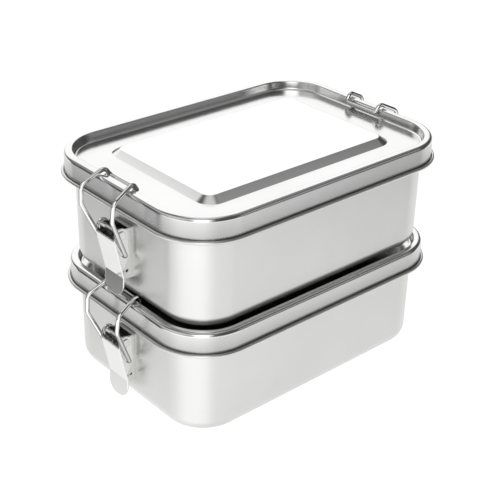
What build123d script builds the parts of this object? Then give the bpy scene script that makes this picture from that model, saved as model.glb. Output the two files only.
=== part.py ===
from build123d import *
from math import cos, pi, radians, sin, tan
import os

# A stacking steel lunch box of two identical tiers. Each tier is a deep-drawn
# rounded-rectangle box with a pressed lid, a silicone gasket and one wire-bail
# toggle latch on each short side. The upper tier stands on the raised panel in
# the lower tier's lid.
# Origin: centre of the lower tier's base. +X along the long side, +Z up. Sizes in mm.
# Plans are (length, width, corner radius); heights are above the tier's base.

SHEET = 0.6                 # sheet thickness of box and lid

# ---------------------------------------------------------------- box body sizes
BODY_PLAN = (150.6, 104.0, 21.3)    # box wall, outside
BASE_ROUND = 7.0            # outside radius between wall and base
FLANGE_Z = 46.2             # top face of the flange
FLANGE_OUT = 5.2            # flange width outside the wall
FLARE_ROUND = 1.2           # radii between wall and flange
BEAD_R = 0.85               # rolled bead on the flange's edge
BEAD_OUT = 5.6              # bead centre outside the wall
BEAD_Z = 46.25

# ---------------------------------------------------------------- lid sizes
LID_PLAN = (160.0, 113.4, 26.0)     # lid skirt, outside
LID_SKIRT_Z = 46.8          # lower edge of the skirt
RIM_TOP = 57.0
RIM_ROUND = 2.0             # outer rounding of the rim
RIM_BAND = 4.1              # skirt to the recess edge
RECESS_DEPTH = 4.3
RECESS_TAPER = 10.0         # degrees
RECESS_ROUND = 0.8          # recess's upper edge
FLOOR_ROUND = 1.0           # both edges of the recess floor
RECESS_Z = RIM_TOP - RECESS_DEPTH
PANEL_PLAN = (116.0, 75.6, 8.5)     # foot of the raised panel
PANEL_RISE = 2.8
PANEL_RUN = 4.1             # horizontal width of the panel's bevel
PANEL_ROUND = 1.2           # panel's upper edge
PANEL_Z = RECESS_Z + PANEL_RISE
PITCH = PANEL_Z             # one tier's base to the next one's

# ---------------------------------------------------------------- gasket sizes
# widths are measured outwards from the box wall
GASKET_IN, GASKET_OUT = 0.8, 4.05
GASKET_TOP = 54.4
GASKET_ROUND = 0.6
FOOT_HEIGHT = 2.6           # foot reaches further inwards than the ring above it
RING_IN = 1.35              # inner face of the ring above the foot
GROOVE_IN, GROOVE_OUT = 1.9, 3.0
GROOVE_DEPTH = 0.9

# ---------------------------------------------------------------- latch sizes
# points are (u, z): u outwards from the box wall, z above the tier's base
WALL_X = BODY_PLAN[0] / 2
PIVOT = PIVOT_U, PIVOT_Z = 5.6, 34.8    # lever's pivot
HOOK = HOOK_U, HOOK_Z = 4.6, 24.6       # bail's hooks in the lever's lobes
PIN_R = 1.25
WIRE_R = 1.0
RUN_GAP = 0.04              # running clearance on the radius
LATCH_SHEET = 0.8

EAR_HALF = 6.3              # half width over the bracket's ears
PLATE_LOW, PLATE_HIGH = 11.8, 36.6      # bracket's lower and upper end
EAR_ROOT_U = 0.2            # ears start inside the plate
EAR_FOOT_U = 4.3            # reach of the ear's lower end
EAR_WAIST_U = 2.7
EAR_HEAD_R = 2.7            # round the pivot
EAR_HOLE = (2.7, PLATE_LOW + 4.2)
EAR_HOLE_R = 0.8

LEVER_HALF = 7.3            # half width over the lever's flanges
LEVER_TOP = (9.5, 32.8)     # outer face of the lever's front plate
LEVER_BEND = (5.4, 13.2)
TAB_END = (6.2, 3.0)
# inner face of plate and tab, one sheet thickness in, from the tab's end up
LEVER_INNER = [(5.402, 2.937), (4.604, 13.25), (8.717, 32.964)]
TAB_ROUND = 6.5             # corners of the finger tab
PIVOT_LOBE_R = 3.2
HOOK_LOBE_R = 2.6
BEND_ROUND = 0.5            # lever's outer long edges
FLANGE_FOOT_RISE = 2.5      # lower end of the lever's flanges above the bend
TRIM_SIDE = LEVER_HALF + 1  # trim outline, clear of the lever above its shoulder
TRIM_SHOULDER_Z, TRIM_TOP_Z = 14, 44

PIN_HALF = LEVER_HALF + 0.1
HEAD_R = 2.0
HEAD_THICK = 0.6
HEAD_GAP = 0.06             # lever's flange to the pin's head
HEAD_ROUND = 0.35

# half of the bail's wire, from its hook to the crossbar:
# u, half width, z, bend radius at that corner (0 at the wire's end)
BAIL_HALF = [
    (HOOK_U, 5.9, HOOK_Z, 0),
    (HOOK_U, 8.7, HOOK_Z, 1.5),
    (13.2, 11.8, 45.2, 5.0),
    (12.4, 12.3, 54.0, 4.5),
    (1.1, 10.4, 59.5, 2.2),
    (-1.8, 10.0, 55.3, 1.7),
]


# ---------------------------------------------------------------- helpers
def outset(plan, by):
    """Length, width and corner radius of a plan grown outwards on all sides."""
    length, width, radius = plan
    return length + 2 * by, width + 2 * by, radius + by


def flat_nearest(builder, height):
    """The horizontal face whose height is nearest to the given one."""
    flats = builder.faces().filter_by(Axis.Z)
    return flats.sort_by(lambda f: abs(f.center().Z - height))[0]


def latch_plane(y=0.0):
    """Sketch plane of the right-hand latch in (u, z); it extrudes towards -Y."""
    return Plane(origin=(WALL_X, y, 0), x_dir=(1, 0, 0), z_dir=(0, -1, 0))


def cheek_planes(half_width):
    """Planes for two sheet-metal cheeks, half_width over their outer faces."""
    return latch_plane(half_width), latch_plane(-half_width + LATCH_SHEET)


# ---------------------------------------------------------------- box body
def make_hollow():
    """The hollow of the box."""
    with BuildPart() as hollow:
        with BuildSketch(Plane.XY.offset(SHEET)):
            RectangleRounded(*outset(BODY_PLAN, -SHEET))
        extrude(amount=RIM_TOP)
        fillet(hollow.edges().group_by(Axis.Z)[0], BASE_ROUND - SHEET)
    return hollow.part


def make_body():
    hollow = make_hollow()
    with BuildPart() as body:
        with BuildSketch(Plane.XY):
            RectangleRounded(*BODY_PLAN)
        extrude(amount=FLANGE_Z)
        fillet(body.edges().group_by(Axis.Z)[0], BASE_ROUND)
        with BuildSketch(Plane.XY.offset(FLANGE_Z - SHEET)):
            RectangleRounded(*outset(BODY_PLAN, FLANGE_OUT))
        extrude(amount=SHEET)
        # the wall flares into the flange through a small radius
        under_flange = flat_nearest(body, FLANGE_Z - SHEET)
        fillet(under_flange.inner_wires()[0].edges(), FLARE_ROUND)
        add(hollow, mode=Mode.SUBTRACT)
        flange_top = body.faces().filter_by(Axis.Z).sort_by(Axis.Z)[-1]
        fillet(flange_top.inner_wires()[0].edges(), FLARE_ROUND)
        # rolled bead round the flange
        with BuildSketch(Plane.XY.offset(BEAD_Z), mode=Mode.PRIVATE) as bead_plan:
            RectangleRounded(*outset(BODY_PLAN, BEAD_OUT))
        bead_origin = (WALL_X + BEAD_OUT, 0, BEAD_Z)
        with BuildSketch(Plane(origin=bead_origin, x_dir=(1, 0, 0), z_dir=(0, 1, 0))):
            Circle(BEAD_R)
        sweep(path=bead_plan.sketch.face().outer_wire())
    return body.part


# ---------------------------------------------------------------- lid
def make_lid_outside():
    """A solid with the outside faces of the pressed lid."""
    with BuildPart() as outside:
        with BuildSketch(Plane.XY.offset(LID_SKIRT_Z)):
            RectangleRounded(*LID_PLAN)
        extrude(amount=RIM_TOP - LID_SKIRT_Z)
        fillet(outside.edges().group_by(Axis.Z)[-1], RIM_ROUND)
        # tapered recess
        with BuildSketch(Plane.XY.offset(RIM_TOP)):
            RectangleRounded(*outset(LID_PLAN, -RIM_BAND))
        extrude(amount=-RECESS_DEPTH, taper=RECESS_TAPER, mode=Mode.SUBTRACT)
        # raised panel with bevelled sides
        with BuildSketch(Plane.XY.offset(RECESS_Z)):
            RectangleRounded(*PANEL_PLAN)
        with BuildSketch(Plane.XY.offset(PANEL_Z)):
            RectangleRounded(*outset(PANEL_PLAN, -PANEL_RUN))
        loft(ruled=True)
        fillet(flat_nearest(outside, PANEL_Z).edges(), PANEL_ROUND)
        # the floor is picked anew after each fillet, which replaces its face
        floor = flat_nearest(outside, RECESS_Z)
        fillet(floor.inner_wires()[0].edges(), FLOOR_ROUND)
        floor = flat_nearest(outside, RECESS_Z)
        fillet(floor.outer_wire().edges(), FLOOR_ROUND)
        rim_flat = outside.faces().filter_by(Axis.Z).sort_by(Axis.Z)[-1]
        fillet(rim_flat.inner_wires()[0].edges(), RECESS_ROUND)
    return outside.part


def make_lid():
    outside = make_lid_outside()
    with BuildPart() as lid:
        add(outside)
        # shelled inwards, open below
        offset(amount=-SHEET, openings=lid.faces().sort_by(Axis.Z)[0])
    return lid.part


# ---------------------------------------------------------------- gasket
def make_gasket():
    """A ring held in the lid's rim channel, with a foot that lies on the flange."""
    with BuildPart() as gasket:
        with BuildSketch(Plane.XY.offset(FLANGE_Z)):
            RectangleRounded(*outset(BODY_PLAN, GASKET_OUT))
            RectangleRounded(*outset(BODY_PLAN, GASKET_IN), mode=Mode.SUBTRACT)
        extrude(amount=GASKET_TOP - FLANGE_Z)
        # cut back the inner face above the foot; the cut runs out past the top
        with BuildSketch(Plane.XY.offset(FLANGE_Z + FOOT_HEIGHT)):
            RectangleRounded(*outset(BODY_PLAN, RING_IN))
        extrude(amount=GASKET_TOP, mode=Mode.SUBTRACT)
        # relief groove under the foot
        with BuildSketch(Plane.XY.offset(FLANGE_Z)):
            RectangleRounded(*outset(BODY_PLAN, GROOVE_OUT))
            RectangleRounded(*outset(BODY_PLAN, GROOVE_IN), mode=Mode.SUBTRACT)
        extrude(amount=GROOVE_DEPTH, mode=Mode.SUBTRACT)
        gasket_top = gasket.faces().filter_by(Axis.Z).sort_by(Axis.Z)[-1]
        fillet(gasket_top.edges(), GASKET_ROUND)
    return gasket.part


# ---------------------------------------------------------------- right-hand latch
def make_bracket():
    with BuildPart() as bracket:
        # base plate, flat against the wall
        with BuildSketch(latch_plane()):
            with BuildLine():
                Polyline(
                    (0, PLATE_LOW),
                    (LATCH_SHEET, PLATE_LOW),
                    (LATCH_SHEET, PLATE_HIGH),
                    (0, PLATE_HIGH),
                    close=True,
                )
            make_face()
        extrude(amount=EAR_HALF, both=True)
        # two ears, bent outwards from the plate's edges
        for ear_plane in cheek_planes(EAR_HALF):
            with BuildSketch(ear_plane):
                with BuildLine():
                    Polyline(
                        (EAR_ROOT_U, PLATE_LOW),
                        (EAR_FOOT_U - 1.0, PLATE_LOW),
                        (EAR_FOOT_U, PLATE_LOW + 1.2),
                        (EAR_FOOT_U, PLATE_LOW + 6.2),
                        (EAR_WAIST_U, PLATE_LOW + 9.2),
                        (EAR_WAIST_U, PIVOT_Z - 5.4),
                        (EAR_FOOT_U, PIVOT_Z - 2.3),
                        PIVOT,
                        (PIVOT_U, PLATE_HIGH),
                        (EAR_ROOT_U, PLATE_HIGH),
                        close=True,
                    )
                make_face()
                with Locations(PIVOT):
                    Circle(EAR_HEAD_R)
                with Locations(PIVOT):
                    Circle(PIN_R, mode=Mode.SUBTRACT)
                with Locations(EAR_HOLE):
                    Circle(EAR_HOLE_R, mode=Mode.SUBTRACT)
            extrude(amount=LATCH_SHEET)
    return bracket.part


def make_lever():
    top_u, top_z = LEVER_TOP
    bend_u, bend_z = LEVER_BEND
    tab_z = TAB_END[1]
    # lower end of the flanges, on the plate's outer face
    flange_foot = (
        bend_u + FLANGE_FOOT_RISE * (top_u - bend_u) / (top_z - bend_z),
        bend_z + FLANGE_FOOT_RISE,
    )
    with BuildPart() as lever:
        # front plate with the finger tab at its foot
        with BuildSketch(latch_plane()):
            with BuildLine():
                Polyline(LEVER_TOP, LEVER_BEND, TAB_END, *LEVER_INNER, close=True)
            make_face()
        extrude(amount=LEVER_HALF, both=True)
        # two flanges, bent inwards from the plate's edges
        for flange_plane in cheek_planes(LEVER_HALF):
            with BuildSketch(flange_plane):
                with Locations(PIVOT):
                    Circle(PIVOT_LOBE_R)
                with Locations(HOOK):
                    Circle(HOOK_LOBE_R)
                with BuildLine():
                    Polyline(LEVER_TOP, flange_foot, HOOK, close=True)
                make_face()
                make_hull()
            extrude(amount=LATCH_SHEET)
        # rounded bends: the long edges at the sides of the outer face; the last
        # filter leaves out the edges nearer to the wall
        bends = (
            lever.edges()
            .filter_by(lambda e: abs(abs(e.center().Y) - LEVER_HALF) < 1e-3)
            .filter_by(lambda e: e.length > 8 and tab_z < e.center().Z < 30)
            .filter_by(
                lambda e: e.center().X - WALL_X > (6.9 if e.center().Z > bend_z else 5.5)
            )
        )
        fillet(bends, BEND_ROUND)
        # round the end of the tab by trimming to an outline seen along X
        sagitta = -TAB_ROUND * (1 - cos(pi / 4))
        round_z = tab_z + TAB_ROUND
        round_y = LEVER_HALF - TAB_ROUND
        with BuildSketch(Plane.YZ.offset(WALL_X - 5)):
            with BuildLine():
                Polyline(
                    (-TRIM_SIDE, TRIM_TOP_Z),
                    (-TRIM_SIDE, TRIM_SHOULDER_Z),
                    (-LEVER_HALF, TRIM_SHOULDER_Z),
                    (-LEVER_HALF, round_z),
                )
                SagittaArc((-LEVER_HALF, round_z), (-round_y, tab_z), sagitta)
                Line((-round_y, tab_z), (round_y, tab_z))
                SagittaArc((round_y, tab_z), (LEVER_HALF, round_z), sagitta)
                Polyline(
                    (LEVER_HALF, round_z),
                    (LEVER_HALF, TRIM_SHOULDER_Z),
                    (TRIM_SIDE, TRIM_SHOULDER_Z),
                    (TRIM_SIDE, TRIM_TOP_Z),
                    (-TRIM_SIDE, TRIM_TOP_Z),
                )
            make_face()
        extrude(amount=25, mode=Mode.INTERSECT)
        # holes for the pivot pin and for the bail's hooks
        with BuildSketch(latch_plane()):
            with Locations(PIVOT):
                Circle(PIN_R + RUN_GAP)
            with Locations(HOOK):
                Circle(WIRE_R + RUN_GAP)
        extrude(amount=LEVER_HALF + 1, both=True, mode=Mode.SUBTRACT)
    return lever.part


def make_pivot_pin():
    with BuildPart() as pin:
        with BuildSketch(latch_plane()):
            with Locations(PIVOT):
                Circle(PIN_R)
        extrude(amount=PIN_HALF, both=True)
        # flattened heads outside the lever's flanges
        head_inner = LEVER_HALF + HEAD_GAP
        for head_y in (-head_inner, head_inner + HEAD_THICK):
            with BuildSketch(latch_plane(head_y)):
                with Locations(PIVOT):
                    Circle(HEAD_R)
            extrude(amount=HEAD_THICK)
        # only the heads' outermost edges
        fillet(
            pin.edges()
            .filter_by(GeomType.CIRCLE)
            .filter_by(lambda e: abs(e.center().Y) > LEVER_HALF + HEAD_THICK),
            HEAD_ROUND,
        )
    return pin.part


def make_bail():
    """One bent wire, its ends hooked through the lever's flanges from outside."""
    stations = [(u, -y, z, bend) for u, y, z, bend in BAIL_HALF] + BAIL_HALF[::-1]
    corners = [Vector(WALL_X + u, y, z) for u, y, z, _ in stations]
    with BuildPart() as bail:
        with BuildLine() as wire_path:
            start = corners[0]
            for i in range(1, len(corners) - 1):
                # an arc tangent to both straights replaces the corner
                knee = corners[i]
                bend = stations[i][3]
                back = (corners[i - 1] - knee).normalized()
                ahead = (corners[i + 1] - knee).normalized()
                half_angle = radians(back.get_angle(ahead)) / 2
                arc_start = knee + back * (bend / tan(half_angle))
                arc_end = knee + ahead * (bend / tan(half_angle))
                bisector = (back + ahead).normalized()
                middle = knee + bisector * (bend / sin(half_angle) - bend)
                Line(start, arc_start)
                ThreePointArc(arc_start, middle, arc_end)
                start = arc_end
            Line(start, corners[-1])
        with BuildSketch(Plane(origin=corners[0], x_dir=(1, 0, 0), z_dir=(0, -1, 0))):
            Circle(WIRE_R)
        sweep(path=wire_path.wires()[0])
    return bail.part


# ---------------------------------------------------------------- copies
def mirrored(right_part):
    """The left-hand copy of a right-hand piece."""
    with BuildPart() as left:
        mirror(right_part, about=Plane.YZ)
    return left.part


def raised(lower_part):
    """The upper tier's copy of a lower-tier piece."""
    moved = Pos(0, 0, PITCH) * lower_part
    with BuildPart() as upper:
        add(moved)
    return upper.part


# ---------------------------------------------------------------- build and export
tier = {"body": make_body(), "lid": make_lid(), "gasket": make_gasket()}
right_latch = {
    "bracket": make_bracket(),
    "lever": make_lever(),
    "pivot_pin": make_pivot_pin(),
    "bail": make_bail(),
}
for name, part in right_latch.items():
    tier[f"right_{name}"] = part
    tier[f"left_{name}"] = mirrored(part)

os.makedirs("parts", exist_ok=True)
for name, part in tier.items():
    for level, piece in (("lower", part), ("upper", raised(part))):
        piece.label = f"{level}_{name}"
        export_step(piece, f"parts/{piece.label}.step")
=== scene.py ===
"""A two-tier steel lunch box: two equal boxes stacked along +Z, each with a lid, a silicone
gasket and a wire bail at both ends.

The length runs along X, the width along Y, and the lower box stands on z = 0. The shapes are
in millimetres and become metres in make_mesh. The camera looks from the -X -Y side.
"""
import bpy
import math
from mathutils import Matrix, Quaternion, Vector


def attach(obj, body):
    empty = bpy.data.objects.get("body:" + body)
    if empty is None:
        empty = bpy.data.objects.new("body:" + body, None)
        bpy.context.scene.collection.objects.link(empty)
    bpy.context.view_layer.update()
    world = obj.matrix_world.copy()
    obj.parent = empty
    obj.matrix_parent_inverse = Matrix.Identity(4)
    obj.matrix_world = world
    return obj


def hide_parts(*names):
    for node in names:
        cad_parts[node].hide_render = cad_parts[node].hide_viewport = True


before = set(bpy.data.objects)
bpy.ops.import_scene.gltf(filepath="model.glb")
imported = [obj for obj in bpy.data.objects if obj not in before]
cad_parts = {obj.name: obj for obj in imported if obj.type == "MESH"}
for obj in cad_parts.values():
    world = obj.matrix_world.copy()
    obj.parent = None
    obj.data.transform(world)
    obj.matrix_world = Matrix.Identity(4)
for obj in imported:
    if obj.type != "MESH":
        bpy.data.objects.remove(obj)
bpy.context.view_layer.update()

# ------------------------------------------------------------------ sizes, mm
MM = 0.001              # metres in a millimetre
PITCH = 55.5            # from one tier to the next; also the top of a lid's raised panel
SHEET = 0.6             # thickness of the steel sheet
LID_OVERHANG = 4.7      # the lid's outline lies this far outside the body's

# rounded rectangles: length, width, corner radius
BODY = (150.6, 104.0, 21.3)
LID = (BODY[0] + 2 * LID_OVERHANG, BODY[1] + 2 * LID_OVERHANG, BODY[2] + LID_OVERHANG)
PANEL = (116.0, 75.6, 8.5)

# segment counts
CORNER_STEPS = 18       # per corner of a rounded rectangle
SIDE_STEPS = 6          # per straight side
WIRE_STEPS = 20         # around the wire


# ------------------------------------------------------------------ section paths
# A path is a list of (offset, z, normal offset, normal z). The offset is measured outwards
# from a rounded rectangle.
def rounded_path(corners, fineness):
    """A polyline through (offset, z, bend radius) with its corners rounded.

    The normals lie to the left of the direction of travel. The two ends have no bend.
    """
    points = [Vector(corner[:2]) for corner in corners]
    headings = [(b - a).normalized() for a, b in zip(points, points[1:])]

    def end(point, heading):
        return (point.x, point.y, -heading.y, heading.x)

    path = [end(points[0], headings[0])]
    for i in range(1, len(points) - 1):
        before, after = headings[i - 1], headings[i]
        radius = corners[i][2]
        turn = math.atan2(before.x * after.y - before.y * after.x, before.dot(after))
        bend = math.copysign(radius, turn)
        left = Vector((-before.y, before.x))
        centre = points[i] - before * (radius * math.tan(abs(turn) / 2)) + left * bend
        steps = max(3, int(fineness * abs(turn) / 1.2) + 2)
        for k in range(steps + 1):
            cos, sin = math.cos(turn * k / steps), math.sin(turn * k / steps)
            normal = Vector((left.x * cos - left.y * sin, left.x * sin + left.y * cos))
            spot = centre - normal * bend
            path.append((spot.x, spot.y, normal.x, normal.y))
    path.append(end(points[-1], headings[-1]))
    return path


def arc_path(centre, radius, start, end, steps, outward=True):
    """Points on an arc with radial normals; angles in degrees."""
    path = []
    sign = 1.0 if outward else -1.0
    for k in range(steps + 1):
        angle = math.radians(start + (end - start) * k / steps)
        cos, sin = math.cos(angle), math.sin(angle)
        path.append((centre[0] + radius * cos, centre[1] + radius * sin, sign * cos, sign * sin))
    return path


def sections(plan, path, zone=lambda offset, z: 0.0):
    """Pair each path point with its rounded rectangle and its zone value."""
    return [(plan, offset, z, normal_out, normal_z, zone(offset, z))
            for offset, z, normal_out, normal_z in path]


# ------------------------------------------------------------------ mesh tools
def plan_ring(plan, offset):
    """Points and outward normals of a rounded rectangle, offset outwards."""
    length, width, radius = plan
    centre_x, centre_y = length / 2 - radius, width / 2 - radius
    centres = [(centre_x, centre_y), (-centre_x, centre_y),
               (-centre_x, -centre_y), (centre_x, -centre_y)]

    def on_corner(centre, degrees):
        cos, sin = math.cos(math.radians(degrees)), math.sin(math.radians(degrees))
        reach = radius + offset
        return (centre[0] + reach * cos, centre[1] + reach * sin, cos, sin)

    points = []
    for i, centre in enumerate(centres):
        for k in range(CORNER_STEPS + 1):
            points.append(on_corner(centre, 90.0 * i + 90.0 * k / CORNER_STEPS))
        x, y, normal_x, normal_y = points[-1]
        next_i = (i + 1) % 4
        next_x, next_y = on_corner(centres[next_i], 90.0 * next_i)[:2]
        for k in range(1, SIDE_STEPS):
            part = k / SIDE_STEPS
            points.append((x + (next_x - x) * part, y + (next_y - y) * part, normal_x, normal_y))
    return points


def make_mesh(name, verts, faces, zones, z_up):
    """A smooth mesh in metres, raised by z_up, with a zone value at each vertex: a mask of painted
    shade, which also adds roughness.
    """
    mesh = bpy.data.meshes.new(name)
    mesh.from_pydata([(x * MM, y * MM, (z + z_up) * MM) for x, y, z in verts], [], faces)
    mesh.validate()
    for polygon in mesh.polygons:
        polygon.use_smooth = True
    layer = mesh.attributes.new("zone", "FLOAT", "POINT")
    layer.data.foreach_set("value", zones)
    return mesh


def place(mesh, material, body, node_name):
    """Put the mesh in the scene in place of a CAD node, moving with the given body."""
    mesh.materials.append(material)
    obj = bpy.data.objects.new(mesh.name, mesh)
    bpy.context.scene.collection.objects.link(obj)
    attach(obj, body)
    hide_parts(node_name)


def facing_normals(face, verts, normals):
    """The face, turned round if needed so that it winds the same way as its normals."""
    start = Vector(verts[face[0]])
    winding = Vector((0.0, 0.0, 0.0))
    for a, b in zip(face[1:], face[2:]):
        winding += (Vector(verts[a]) - start).cross(Vector(verts[b]) - start)
    wanted = normals[face[0]] + normals[face[1]] + normals[face[2]]
    return tuple(reversed(face)) if winding.dot(wanted) < 0 else face


def ring_shell(name, rings, z_up, capped=True):
    """A mesh of rings joined by quads; caps close the first and last ring with a flat face."""
    verts, normals, zones = [], [], []
    for plan, offset, z, normal_out, normal_z, zone in rings:
        for x, y, out_x, out_y in plan_ring(plan, offset):
            verts.append((x, y, z))
            normals.append(Vector((out_x * normal_out, out_y * normal_out, normal_z)).normalized())
            zones.append(zone)
    count = len(verts) // len(rings)
    faces = []
    for i, (ring, after) in enumerate(zip(rings, rings[1:])):
        # rings in the same place differ only in their normals, and need no faces between
        if (ring[0] == after[0] and abs(ring[1] - after[1]) < 1e-6
                and abs(ring[2] - after[2]) < 1e-6):
            continue
        low, high = i * count, (i + 1) * count
        for k in range(count):
            k2 = (k + 1) % count
            faces.append((low + k, high + k, high + k2, low + k2))
    if capped:
        faces.append(tuple(range(count)))
        faces.append(tuple(reversed(range(len(verts) - count, len(verts)))))
    faces = [facing_normals(face, verts, normals) for face in faces]
    mesh = make_mesh(name, verts, faces, zones, z_up)
    mesh.normals_split_custom_set([normals[i] for face in faces for i in face])
    return mesh


def bent_line(points, bends):
    """The centre line through 3-D points, rounded at every inner point by its bend radius."""
    line = [points[0]]
    for before, knee, after, radius in zip(points, points[1:], points[2:], bends):
        back = (before - knee).normalized()
        ahead = (after - knee).normalized()
        half = back.angle(ahead) / 2
        start = knee + back * (radius / math.tan(half))
        centre = knee + (back + ahead).normalized() * (radius / math.sin(half))
        sweep = math.pi - 2 * half
        axis = (knee - start).cross(ahead).normalized()
        steps = max(4, int(sweep / 0.16))
        for k in range(steps + 1):
            line.append(centre + Quaternion(axis, sweep * k / steps) @ (start - centre))
    line.append(points[-1])
    return line


def wire(name, points, bends, wire_radius, end_round, z_up):
    """A round wire bent along 3-D points; the edges of its two ends are rounded."""
    line = bent_line(points, bends)
    last = len(line) - 1
    tangents = [(line[min(i + 1, last)] - line[max(i - 1, 0)]).normalized()
                for i in range(last + 1)]
    line[0] = line[0] + tangents[0] * end_round
    line[last] = line[last] - tangents[last] * end_round
    # (place on the line, tilt of the normals along it in degrees)
    stations = [(0, -80), (0, -55), (0, -28)]
    stations += [(i, 0) for i in range(last + 1)]
    stations += [(last, 28), (last, 55), (last, 80)]

    verts, normals = [], []
    side = tangents[0].orthogonal().normalized()
    for i, degrees in stations:
        tangent = tangents[i]
        side = (side - tangent * side.dot(tangent)).normalized()
        across = tangent.cross(side).normalized()
        tilt = math.radians(degrees)
        centre = line[i] + tangent * (end_round * math.sin(tilt))
        radius = wire_radius - end_round + end_round * math.cos(tilt)
        for k in range(WIRE_STEPS):
            angle = 2 * math.pi * k / WIRE_STEPS
            out = side * math.cos(angle) + across * math.sin(angle)
            verts.append(tuple(centre + out * radius))
            normals.append((out * math.cos(tilt) + tangent * math.sin(tilt)).normalized())

    faces = []
    for low in range(0, len(verts) - WIRE_STEPS, WIRE_STEPS):
        high = low + WIRE_STEPS
        for k in range(WIRE_STEPS):
            k2 = (k + 1) % WIRE_STEPS
            faces.append((low + k, low + k2, high + k2, high + k))
    faces.append(tuple(reversed(range(WIRE_STEPS))))
    faces.append(tuple(range(len(verts) - WIRE_STEPS, len(verts))))
    mesh = make_mesh(name, verts, faces, [0.0] * len(verts), z_up)
    mesh.normals_split_custom_set_from_vertices(normals)
    return mesh


# ------------------------------------------------------------------ shader tools
def node(tree, kind, inputs, **settings):
    """Add a node. Each input gets a value, or a link from a socket or a node's first output."""
    made = tree.nodes.new(kind)
    for key, value in settings.items():
        setattr(made, key, value)
    for key, value in inputs.items():
        if isinstance(value, bpy.types.Node):
            value = value.outputs[0]
        if isinstance(value, bpy.types.NodeSocket):
            tree.links.new(value, made.inputs[key])
        else:
            made.inputs[key].default_value = value
    return made


def calc(tree, operation, *values, clamp=False):
    return node(tree, "ShaderNodeMath", dict(enumerate(values)),
                operation=operation, use_clamp=clamp)


def map_range(tree, value, from_min, from_max, to_min, to_max, kind="LINEAR"):
    return node(tree, "ShaderNodeMapRange", {
        "Value": value, "From Min": from_min, "From Max": from_max,
        "To Min": to_min, "To Max": to_max}, interpolation_type=kind)


def noise(tree, vector, scale, detail, roughness=0.5):
    return node(tree, "ShaderNodeTexNoise", {
        "Vector": vector, "Scale": scale, "Detail": detail, "Roughness": roughness})


def empty_material(name):
    material = bpy.data.materials.new(name)
    material.use_nodes = True
    material.node_tree.nodes.clear()
    return material, material.node_tree


# ------------------------------------------------------------------ materials
def steel(name, colour, rough, brush, bump, zone_painted_shade=0.0, zone_rough=0.0, wear=0.08,
          edge=0.0, outline_painted_shade=0.0):
    """Stainless steel with stretched scratches and cloudy variation.

    brush: scratch frequency along x, y, z; bump: depth in metres
    zone_painted_shade, zone_rough: how much the mesh's zone value darkens, as painted shade, and
    roughens
    wear: cloudy variation in roughness; edge: softened edge radius in mm
    outline_painted_shade: how much the outline of thin round parts darkens; this is painted shade
    that follows the view
    """
    material, tree = empty_material(name)
    coord = node(tree, "ShaderNodeTexCoord", {}).outputs["Object"]
    stretched = node(tree, "ShaderNodeMapping", {0: coord, "Scale": brush})
    lines = noise(tree, stretched, scale=1.0, detail=3.0, roughness=0.6)
    clouds = noise(tree, coord, scale=28.0, detail=4.0, roughness=0.55)
    specks = noise(tree, coord, scale=900.0, detail=2.0, roughness=0.6)
    # the zone attribute marks where shade is painted into the colour; it also adds roughness
    zone = node(tree, "ShaderNodeAttribute", {}, attribute_name="zone").outputs["Fac"]

    # lines and clouds vary the roughness about the base value, and the zone adds to it
    line_amount = 0.10
    roughness = calc(tree, "MULTIPLY_ADD", lines, line_amount, rough - line_amount / 2)
    roughness = calc(tree, "MULTIPLY_ADD", clouds, wear, roughness)
    roughness = calc(tree, "MULTIPLY_ADD", zone, zone_rough, roughness)
    roughness = calc(tree, "SUBTRACT", roughness, wear * 0.5, clamp=True)

    # the clouds vary the brightness slightly, and the zone darkens it with painted shade
    cloudy = map_range(tree, clouds, from_min=0.3, from_max=0.7, to_min=0.965, to_max=1.03)
    painted_shade_factor = calc(tree, "MULTIPLY_ADD", zone, -zone_painted_shade, 1.0)
    shade = calc(tree, "MULTIPLY", cloudy, painted_shade_factor)
    # painted shade: where the surface turns away from the view, the colour is darkened
    if outline_painted_shade > 0:
        facing = node(tree, "ShaderNodeLayerWeight", {"Blend": 0.5}).outputs["Facing"]
        rim = map_range(tree, facing, from_min=0.22, from_max=0.62,
                        to_min=1.0, to_max=1.0 - outline_painted_shade, kind="SMOOTHSTEP")
        shade = calc(tree, "MULTIPLY", shade, rim)
    tint = node(tree, "ShaderNodeVectorMath", {0: colour, "Scale": shade}, operation="SCALE")

    speck_amount = 0.35
    height = calc(tree, "MULTIPLY_ADD", specks, speck_amount, lines)
    relief = {"Height": height, "Strength": 1.0, "Distance": bump}
    if edge > 0:
        relief["Normal"] = node(tree, "ShaderNodeBevel", {"Radius": edge * MM}, samples=6)
    bsdf = node(tree, "ShaderNodeBsdfPrincipled", {
        "Metallic": 1.0, "Roughness": roughness, "Base Color": tint,
        "Normal": node(tree, "ShaderNodeBump", relief)})
    node(tree, "ShaderNodeOutputMaterial", {"Surface": bsdf})
    return material


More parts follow.
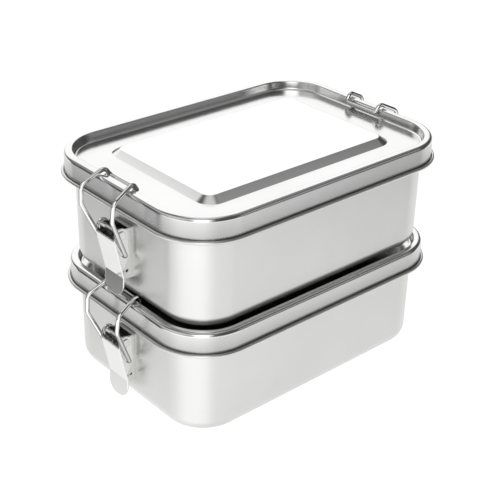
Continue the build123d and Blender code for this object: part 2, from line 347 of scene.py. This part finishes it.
def silicone(name):
    """Milky silicone: slightly cloudy, translucent, with a fine grain."""
    material = bpy.data.materials.new(name)
    material.use_nodes = True
    tree = material.node_tree
    coord = node(tree, "ShaderNodeTexCoord", {}).outputs["Object"]
    clouds = noise(tree, coord, scale=60.0, detail=4.0)
    colours = node(tree, "ShaderNodeValToRGB", {0: clouds})
    dark, light = colours.color_ramp.elements
    dark.position, dark.color = 0.3, (0.70, 0.70, 0.67, 1)
    light.position, light.color = 0.7, (0.82, 0.82, 0.79, 1)
    roughness = map_range(tree, clouds, from_min=0.0, from_max=1.0, to_min=0.38, to_max=0.6)
    grain = noise(tree, coord, scale=1500.0, detail=2.0)
    bump = node(tree, "ShaderNodeBump", {"Height": grain, "Strength": 0.4, "Distance": 0.00003})

    bsdf = tree.nodes["Principled BSDF"]
    bsdf.inputs["Subsurface Weight"].default_value = 0.25
    bsdf.inputs["Subsurface Radius"].default_value = (0.002, 0.002, 0.002)
    tree.links.new(colours.outputs[0], bsdf.inputs["Base Color"])
    tree.links.new(roughness.outputs[0], bsdf.inputs["Roughness"])
    tree.links.new(bump.outputs[0], bsdf.inputs["Normal"])
    return material


# zone_painted_shade paints shade into the colour wherever a mesh's zone value is set;
# outline_painted_shade paints shade along the outlines of the wire and pin
STEEL_BOX = steel("steel_box", colour=(0.71, 0.71, 0.70), rough=0.33,
                  brush=(80.0, 80.0, 3000.0), bump=1.5e-6, zone_painted_shade=0.80, zone_rough=0.05)
STEEL_LID = steel("steel_lid", colour=(0.86, 0.86, 0.855), rough=0.15,
                  brush=(80.0, 2600.0, 2600.0), bump=1.0e-6, zone_painted_shade=0.36, zone_rough=0.10)
STEEL_LATCH = steel("steel_latch", colour=(0.76, 0.76, 0.75), rough=0.13,
                    brush=(2600.0, 2600.0, 120.0), bump=3.0e-6, edge=0.25)
STEEL_BRACKET = steel("steel_bracket", colour=(0.66, 0.66, 0.64), rough=0.24,
                      brush=(2600.0, 2600.0, 120.0), bump=3.0e-6, edge=0.3)
STEEL_WIRE = steel("steel_wire", colour=(0.90, 0.90, 0.89), rough=0.07,
                   brush=(1600.0, 1600.0, 200.0), bump=2.0e-6, wear=0.05, outline_painted_shade=0.85)
STEEL_PIN = steel("steel_pin", colour=(0.80, 0.80, 0.79), rough=0.12,
                  brush=(1600.0, 1600.0, 1600.0), bump=2.0e-6, edge=0.15, outline_painted_shade=0.7)
SILICONE = silicone("silicone")

# ------------------------------------------------------------------ box body
BASE_ROUND = 7.0                # outer radius between base and wall
WALL_RINGS = (14, 30)           # heights of the extra rings on the outer wall
FLANGE_TOP = 46.2
FLANGE_BOTTOM = FLANGE_TOP - SHEET
FLARE = 1.2                     # bend radius from wall to flange
BEAD = (5.6, 46.25)             # centre of the bead round the flange's edge: offset, z
BEAD_RADIUS = 0.85
BEAD_START = -0.548             # where the bead leaves the underside, from its centre
BEAD_END = 183.4                # degrees, where it meets the flange's top


def body_painted_shade(offset, z):
    """Painted shade on the flange's underside, next to the wall."""
    return 1.0 if 1.1 < offset < 5.0 and z < 45.9 else 0.0


def box_body(name, z_up, body, node_name):
    """An open box: up the outside, round the bead, and down the inside."""
    base_centre = (-BASE_ROUND, BASE_ROUND)
    start = math.degrees(math.atan2(FLANGE_BOTTOM - BEAD[1], BEAD_START))
    bead = arc_path(BEAD, BEAD_RADIUS, start, BEAD_END, 24)
    path = arc_path(base_centre, BASE_ROUND, -90, 0, 12)
    path += [(0, z, 1, 0) for z in WALL_RINGS]
    path += arc_path((FLARE, FLANGE_BOTTOM - FLARE), FLARE, 180, 90, 8, outward=False)
    path += [(bead[0][0], FLANGE_BOTTOM, 0, -1)]
    path += bead
    path += [(bead[-1][0], FLANGE_TOP, 0, 1)]
    path += arc_path((FLARE - SHEET, FLANGE_TOP - FLARE), FLARE, 90, 180, 8)
    path += arc_path(base_centre, BASE_ROUND - SHEET, 0, -90, 12, outward=False)
    mesh = ring_shell(name, sections(BODY, path, body_painted_shade), z_up)
    place(mesh, STEEL_BOX, body, node_name)


# ------------------------------------------------------------------ lid
LID_BOTTOM = 46.8
SKIRT_SHADE_TOP = 55.2          # below this height the skirt is shaded, more so further down

# (offset, z, bend radius); the first two are offset from PANEL, the third from LID
PANEL_UNDERSIDE = [
    (-8, PITCH - SHEET, 0), (-4.284, PITCH - SHEET, 0.6), (-0.184, 52.1, 1.6), (6, 52.1, 0),
]
PANEL_TOP = [(6, 52.7, 0), (0, 52.7, 1.0), (-4.1, PITCH, 1.2), (-8, PITCH, 0)]
LID_RIM = [
    (-12, 52.1, 0), (-4.354, 52.1, 1.6), (-3.596, 56.4, 0.2), (-SHEET, 56.4, 1.4),
    (-SHEET, LID_BOTTOM, 0.14), (0, LID_BOTTOM, 0.14), (0, 57, 2.0), (-4.1, 57, 0.8),
    (-4.858, 52.7, 1.0), (-12, 52.7, 0),
]


def rim_painted_shade(offset, z):
    # painted shade: the skirt below SKIRT_SHADE_TOP is darker towards its foot, and the rest of the
    # rim a little darker
    if offset > -0.02 and z < SKIRT_SHADE_TOP:
        return 0.75 + 0.55 * (SKIRT_SHADE_TOP - z) / (SKIRT_SHADE_TOP - LID_BOTTOM)
    return 0.22


def panel_painted_shade(offset, z):
    """Painted shade by height: some on the recess floor, more on the slope, none on the flat top.
    """
    return 0.22 if z < 52.9 else 0.45 if z < 55.3 else 0.0


def box_lid(name, z_up, body, node_name):
    """Out along the underside, round the skirt and rim, and back in over the top."""
    rings = sections(PANEL, rounded_path(PANEL_UNDERSIDE, fineness=8))
    rings += sections(LID, rounded_path(LID_RIM, fineness=10), rim_painted_shade)
    rings += sections(PANEL, rounded_path(PANEL_TOP, fineness=10), panel_painted_shade)
    place(ring_shell(name, rings, z_up), STEEL_LID, body, node_name)


# ------------------------------------------------------------------ gasket
# (offset from BODY, z, bend radius); the outline ends where it starts
GASKET = [
    (3.0, 54.4, 0), (2.42, 54.4, 0.3), (1.35, 49.7, 0.5), (1.35, 48.8, 0.2), (0.8, 48.8, 0.3),
    (0.8, 46.2, 0.3), (1.9, 46.2, 0.1), (2.1, 47.1, 0.2), (2.8, 47.1, 0.2), (3.0, 46.2, 0.1),
    (4.05, 46.2, 0.4), (4.05, 54.4, 0.5), (3.0, 54.4, 0),
]


def box_gasket(name, z_up, body, node_name):
    rings = sections(BODY, rounded_path(GASKET, fineness=4))
    place(ring_shell(name, rings, z_up, capped=False), SILICONE, body, node_name)


# ------------------------------------------------------------------ bail
WIRE_RADIUS = 1.0
WIRE_END_ROUND = 0.35

# half of the bail, from its end to the top: (distance beyond the body's end wall,
# distance from the middle plane, z, bend radius)
BAIL_HALF = [
    (4.6, 5.9, 24.6, 0), (4.6, 8.7, 24.6, 1.5), (13.2, 11.8, 45.2, 5.0),
    (12.4, 12.3, 54.0, 4.5), (1.1, 10.4, 59.5, 2.2), (-1.8, 10.0, 55.3, 1.7),
]


def bail(name, side, z_up, body, node_name):
    """A wire bail at the +X (side = 1) or -X (side = -1) end, the same on both sides of y = 0."""
    wall = BODY[0] / 2
    points = [Vector((side * (wall + out), -y, z)) for out, y, z, _ in BAIL_HALF]
    points += [Vector((side * (wall + out), y, z)) for out, y, z, _ in reversed(BAIL_HALF)]
    bends = [station[3] for station in BAIL_HALF[1:]]
    mesh = wire(name, points, bends + bends[::-1], WIRE_RADIUS, WIRE_END_ROUND, z_up)
    place(mesh, STEEL_WIRE, body, node_name)


# ------------------------------------------------------------------ the two tiers
for tier, z_up in (("lower", 0.0), ("upper", PITCH)):
    box_body(tier + "_body_shell", z_up, tier + "_box", tier + "_body")
    box_lid(tier + "_lid_shell", z_up, tier + "_cover", tier + "_lid")
    box_gasket(tier + "_gasket_ring", z_up, tier + "_cover", tier + "_gasket")
    for hand, side in (("right", 1.0), ("left", -1.0)):
        bail_name = f"{tier}_{hand}_bail"
        bail(bail_name + "_wire", side, z_up, bail_name + "_body", bail_name)

# CAD nodes shown as they are
for name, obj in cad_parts.items():
    if obj.hide_render:
        continue
    material = STEEL_LATCH if "lever" in name else STEEL_BRACKET if "bracket" in name else STEEL_PIN
    obj.data.materials.clear()
    obj.data.materials.append(material)


# ------------------------------------------------------------------ floor
def floor(half_size, z):
    """A pale glowing floor, unseen by glossy rays: the steel reflects the world instead."""
    material, tree = empty_material("pale_floor")
    light = node(tree, "ShaderNodeEmission", {"Strength": 1.2, "Color": (1.0, 1.0, 1.0, 1)})
    matt = node(tree, "ShaderNodeBsdfDiffuse", {"Color": (0.9, 0.9, 0.9, 1)})
    matt_share = 0.22
    pale = node(tree, "ShaderNodeMixShader", {0: matt_share, 1: light, 2: matt})
    glossy = node(tree, "ShaderNodeLightPath", {}).outputs["Is Glossy Ray"]
    clear = node(tree, "ShaderNodeBsdfTransparent", {})
    surface = node(tree, "ShaderNodeMixShader", {0: glossy, 1: pale, 2: clear})
    node(tree, "ShaderNodeOutputMaterial", {"Surface": surface})

    mesh = bpy.data.meshes.new("floor")
    corners = [(x * half_size, y * half_size, 0) for x, y in ((-1, -1), (1, -1), (1, 1), (-1, 1))]
    mesh.from_pydata(corners, [], [(0, 1, 2, 3)])
    mesh.materials.append(material)
    obj = bpy.data.objects.new("floor", mesh)
    obj.location = (0, 0, z)
    bpy.context.scene.collection.objects.link(obj)


floor(half_size=12.0, z=-0.0002)


# ------------------------------------------------------------------ studio light, all of it soft
def towards(azimuth, height):
    """A unit direction; azimuth from +X towards +Y and height above the horizon, in degrees."""
    a, h = math.radians(azimuth), math.radians(height)
    return (math.cos(a) * math.cos(h), math.sin(a) * math.cos(h), math.sin(h))


# Soft round panels: (direction, full within, gone at, strength), angles in degrees.
# The camera stands at azimuth 228, so its left is 138 and its right is 318.
PANELS = [
    (towards(66, 34), 26, 44, 1.13),        # large, behind the object
    (towards(207, -30), 14, 46, 0.36),      # on the camera's side, reaching below the horizon
    (towards(228, 10), 6, 22, 1.6),         # two in line with the camera, low and high
    (towards(228, 40), 6, 22, 1.8),
    (towards(-17, 54), 5, 17, 0.26),        # faint and high, behind on the right
    (towards(177, 28), 10, 38, 0.6),        # weaker, on the near left
    (towards(135, 24), 7, 17, 0.42),        # small, left
    (towards(314, 17), 7, 16, 0.36),        # small, right
    ((0, 0, 1), 8, 26, 0.7),                # overhead, for the insides
]
# changes to the sweep below the horizon, in the same columns
SWEEP_PATCHES = [
    (towards(132, -55), 8, 34, 0.12),       # a little brighter, low on the left
    (towards(135, -14), 12, 17, -0.88),     # dark gap on the left
    (towards(322, -6), 12, 24, -0.55),      # dark gap on the right
]


def soft_panel(tree, view, direction, inner, outer, strength):
    dot = node(tree, "ShaderNodeVectorMath", {0: view, 1: Vector(direction).normalized()},
               operation="DOT_PRODUCT")
    return map_range(tree, dot.outputs["Value"], from_min=math.cos(math.radians(outer)),
                     from_max=math.cos(math.radians(inner)), to_min=0.0, to_max=strength,
                     kind="SMOOTHSTEP")


def soft_band(tree, view, low, full, full_end, gone, strength):
    """A horizontal band all round; limits are the sine of the height above the horizon."""
    height = node(tree, "ShaderNodeSeparateXYZ", {0: view}).outputs["Z"]
    rise = map_range(tree, height, from_min=low, from_max=full, to_min=0.0, to_max=strength,
                     kind="SMOOTHSTEP")
    fade = map_range(tree, height, from_min=full_end, from_max=gone, to_min=1.0, to_max=0.0,
                     kind="SMOOTHSTEP")
    return calc(tree, "MULTIPLY", rise, fade)


def studio():
    world = bpy.data.worlds.new("studio")
    bpy.context.scene.world = world
    world.use_nodes = True
    tree = world.node_tree
    tree.nodes.clear()
    coord = node(tree, "ShaderNodeTexCoord", {}).outputs["Generated"]
    view = node(tree, "ShaderNodeVectorMath", {0: coord}, operation="NORMALIZE")

    lights = [soft_panel(tree, view, *panel) for panel in PANELS]
    # the pale sweep below the horizon
    lights.append(soft_band(tree, view, low=-1.02, full=-1.01, full_end=-0.10, gone=0.03,
                            strength=0.90))
    lights += [soft_panel(tree, view, *patch) for patch in SWEEP_PATCHES]
    total = lights[0]
    for light in lights[1:]:
        total = calc(tree, "ADD", total, light)
    ambient, darkest, backdrop = 0.08, 0.03, 1.0
    total = calc(tree, "MAXIMUM", calc(tree, "ADD", total, ambient), darkest)

    # the camera itself sees a plain pale background; inputs 2 and 3 are the mixed values
    from_camera = node(tree, "ShaderNodeLightPath", {}).outputs["Is Camera Ray"]
    seen = node(tree, "ShaderNodeMix", {"Factor": from_camera, 2: total, 3: backdrop},
                data_type="FLOAT")
    background = node(tree, "ShaderNodeBackground", {
        "Strength": seen, "Color": (1.0, 1.0, 1.0, 1)})
    node(tree, "ShaderNodeOutputWorld", {"Surface": background})


studio()


# ------------------------------------------------------------------ camera
def camera(target, distance, azimuth, elevation, roll, lens):
    """Look at the target. Angles in degrees; azimuth 0 looks along +Y."""
    data = bpy.data.cameras.new("camera")
    obj = bpy.data.objects.new("camera", data)
    bpy.context.scene.collection.objects.link(obj)
    turn, rise = math.radians(azimuth), math.radians(elevation)
    back = Vector((math.sin(turn) * math.cos(rise), -math.cos(turn) * math.cos(rise),
                   math.sin(rise)))
    obj.location = Vector(target) + back * distance
    obj.rotation_mode = "QUATERNION"
    look = (-back).to_track_quat("-Z", "Y")
    obj.rotation_quaternion = look @ Quaternion((0, 0, 1), math.radians(roll))
    data.sensor_width = 36.0
    data.lens = lens
    data.clip_start, data.clip_end = 0.01, 50.0
    bpy.context.scene.camera = obj


camera(target=(-0.027432, -0.031171, 0.075256), distance=0.494,
       azimuth=-41.669, elevation=28.544, roll=1.436, lens=78.28956)

bpy.context.scene.view_settings.view_transform = "Standard"
bpy.context.scene.view_settings.look = "None"
